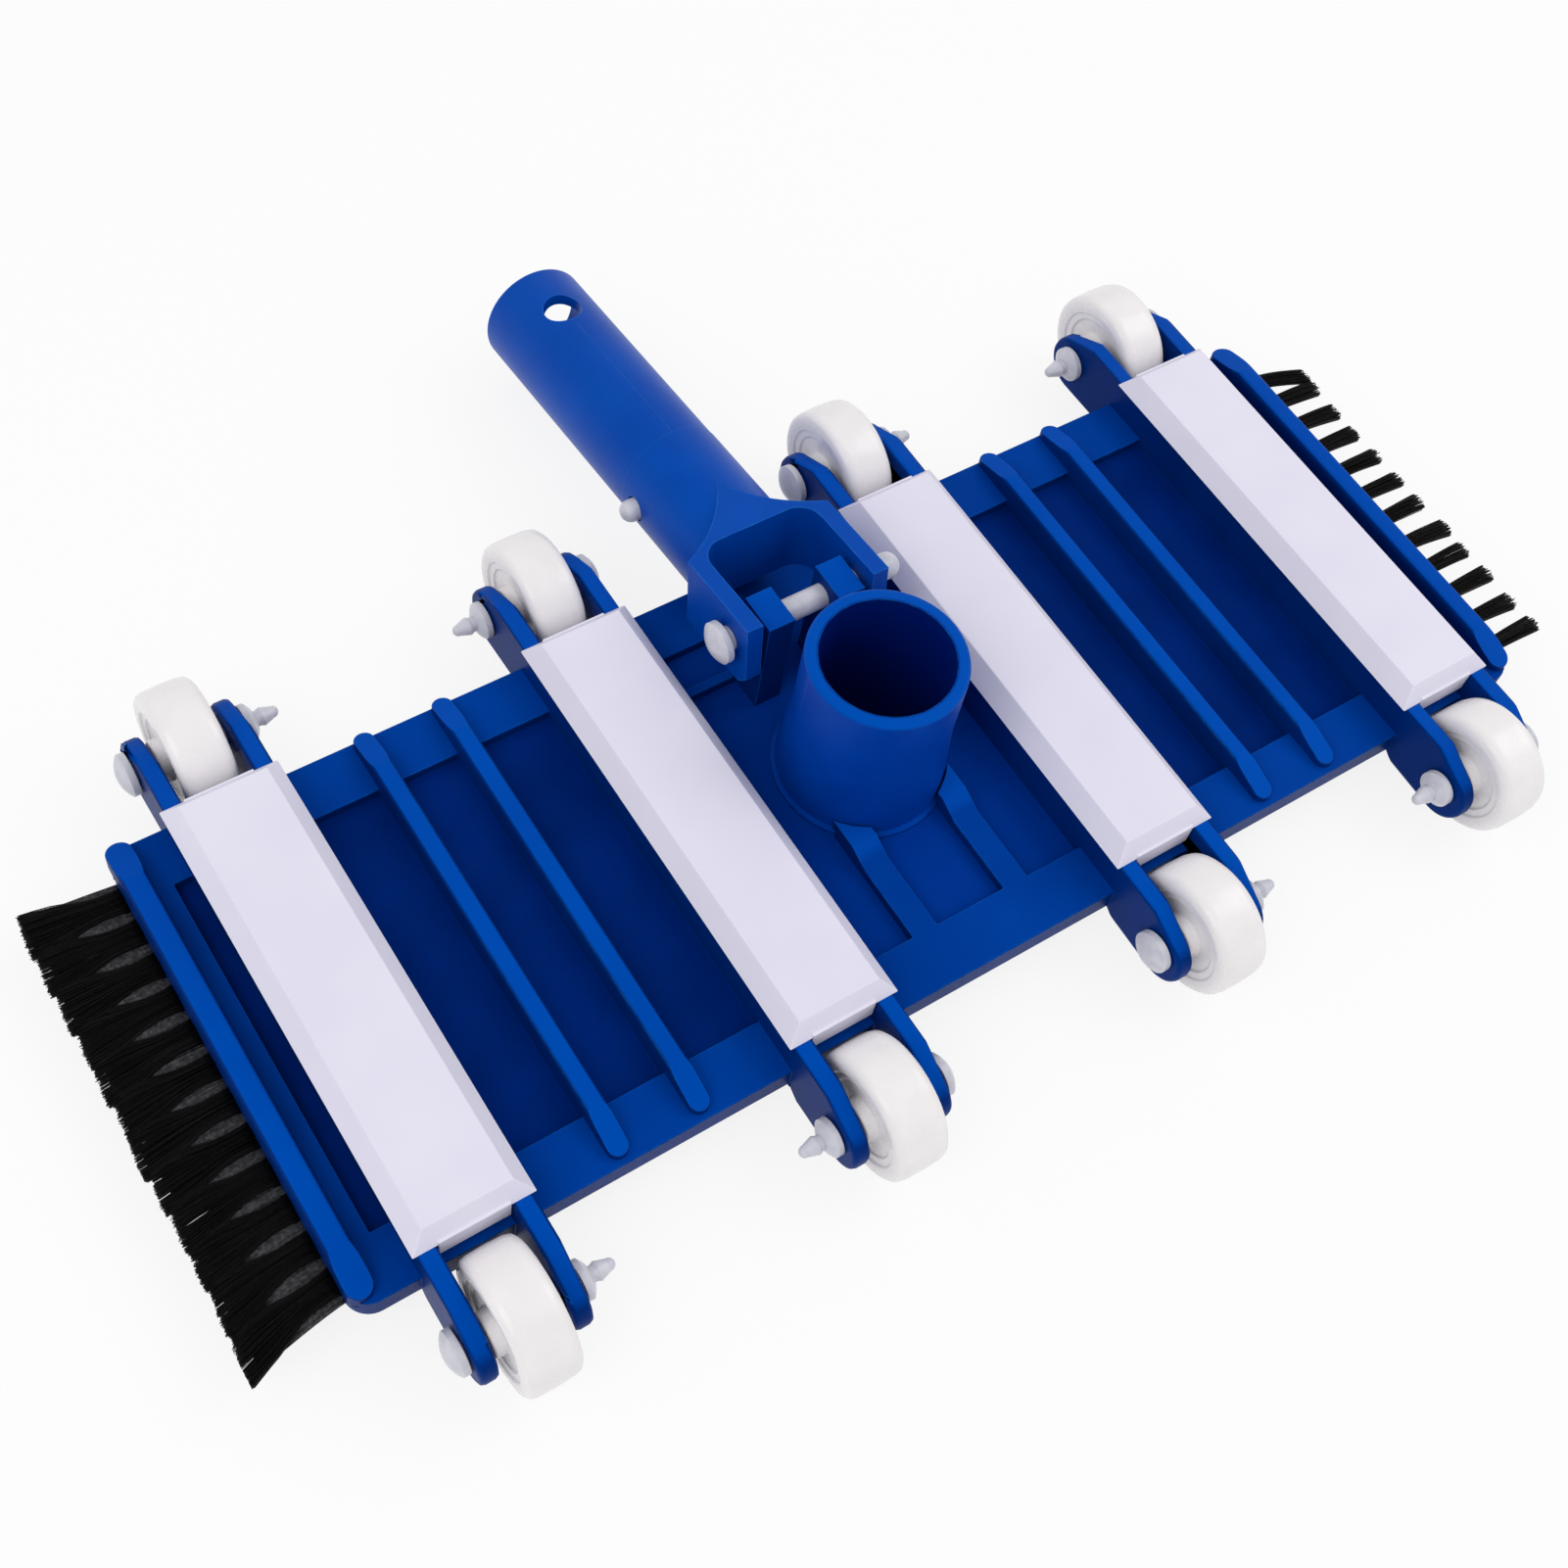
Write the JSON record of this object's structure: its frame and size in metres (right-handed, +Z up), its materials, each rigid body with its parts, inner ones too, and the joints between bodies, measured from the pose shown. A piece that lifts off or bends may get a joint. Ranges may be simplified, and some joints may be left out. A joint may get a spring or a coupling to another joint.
{
  "type": "manual vacuum head",
  "caption": "Weighted pool vacuum head on wheels, with a swivelling hose port, a folding pole handle with a spring clip, and a brush along each end.",
  "frame": {"origin": "on the hose port's axis, level with the top of the deck's floor", "axes": "+X along the deck's length, +Y from the hose port towards the handle, +Z up along the hose port"},
  "size_m": [0.3744, 0.253, 0.0589],
  "materials": {
    "blue_plastic": "injection-moulded, fine satin grain",
    "white_cover": "injection-moulded, fine matte grain",
    "white_wheel": "smooth, moderately glossy",
    "nylon": "smooth natural nylon, slightly translucent",
    "bristle": "black nylon filaments",
    "steel": "plain rolled bar"
  },
  "bodies": {
    "deck": {"base_plate": "blue_plastic", "weight_cover_1": "white_cover", "weight_cover_2": "white_cover", "weight_cover_3": "white_cover", "weight_cover_4": "white_cover", "ballast_bar_1": "steel", "ballast_bar_2": "steel", "ballast_bar_3": "steel", "ballast_bar_4": "steel", "axle_pin_front_1": "nylon", "axle_pin_front_2": "nylon", "axle_pin_front_3": "nylon", "axle_pin_front_4": "nylon", "axle_pin_rear_1": "nylon", "axle_pin_rear_2": "nylon", "axle_pin_rear_3": "nylon", "axle_pin_rear_4": "nylon", "axle_cap_front_1": "nylon", "axle_cap_front_2": "nylon", "axle_cap_front_3": "nylon", "axle_cap_front_4": "nylon", "axle_cap_rear_1": "nylon", "axle_cap_rear_2": "nylon", "axle_cap_rear_3": "nylon", "axle_cap_rear_4": "nylon", "bristles_left": "bristle", "bristles_right": "bristle"},
    "hose_port": {"hose_port": "blue_plastic"},
    "handle": {"handle": "blue_plastic", "handle_pin": "nylon", "clip_spring": "nylon"},
    "clip_button": {"clip_button": "nylon"},
    "wheel_front_1": {"wheel_front_1": "white_wheel"},
    "wheel_front_2": {"wheel_front_2": "white_wheel"},
    "wheel_front_3": {"wheel_front_3": "white_wheel"},
    "wheel_front_4": {"wheel_front_4": "white_wheel"},
    "wheel_rear_1": {"wheel_rear_1": "white_wheel"},
    "wheel_rear_2": {"wheel_rear_2": "white_wheel"},
    "wheel_rear_3": {"wheel_rear_3": "white_wheel"},
    "wheel_rear_4": {"wheel_rear_4": "white_wheel"}
  },
  "joints": [
    {"name": "hose_port_swivel", "type": "hinge", "parent": "deck", "child": "hose_port", "pos_m": [0, 0, 0], "axis": [0, 0, 1], "continuous": true},
    {"name": "handle_pivot", "type": "hinge", "parent": "deck", "child": "handle", "pos_m": [0, 0.0319, 0.0256], "axis": [1, 0, 0], "range_deg": [0, 107]},
    {"name": "clip_button_press", "type": "hinge", "parent": "handle", "child": "clip_button", "pos_m": [-0.0125, 0.12037, 0.0081], "axis": [0, 0.1305, 0.9914], "range_deg": [0, 6], "stiffness_Nm_per_rad": 1.5, "springref_deg": -3.44},
    {"name": "wheel_front_1_spin", "type": "hinge", "parent": "deck", "child": "wheel_front_1", "pos_m": [-0.1368, -0.0774, 0.0025], "axis": [1, 0, 0], "continuous": true},
    {"name": "wheel_front_2_spin", "type": "hinge", "parent": "deck", "child": "wheel_front_2", "pos_m": [-0.0456, -0.0774, 0.0025], "axis": [1, 0, 0], "continuous": true},
    {"name": "wheel_front_3_spin", "type": "hinge", "parent": "deck", "child": "wheel_front_3", "pos_m": [0.0456, -0.0774, 0.0025], "axis": [1, 0, 0], "continuous": true},
    {"name": "wheel_front_4_spin", "type": "hinge", "parent": "deck", "child": "wheel_front_4", "pos_m": [0.1368, -0.0774, 0.0025], "axis": [1, 0, 0], "continuous": true},
    {"name": "wheel_rear_1_spin", "type": "hinge", "parent": "deck", "child": "wheel_rear_1", "pos_m": [-0.1368, 0.0774, 0.0025], "axis": [1, 0, 0], "continuous": true},
    {"name": "wheel_rear_2_spin", "type": "hinge", "parent": "deck", "child": "wheel_rear_2", "pos_m": [-0.0456, 0.0774, 0.0025], "axis": [1, 0, 0], "continuous": true},
    {"name": "wheel_rear_3_spin", "type": "hinge", "parent": "deck", "child": "wheel_rear_3", "pos_m": [0.0456, 0.0774, 0.0025], "axis": [1, 0, 0], "continuous": true},
    {"name": "wheel_rear_4_spin", "type": "hinge", "parent": "deck", "child": "wheel_rear_4", "pos_m": [0.1368, 0.0774, 0.0025], "axis": [1, 0, 0], "continuous": true}
  ]
}
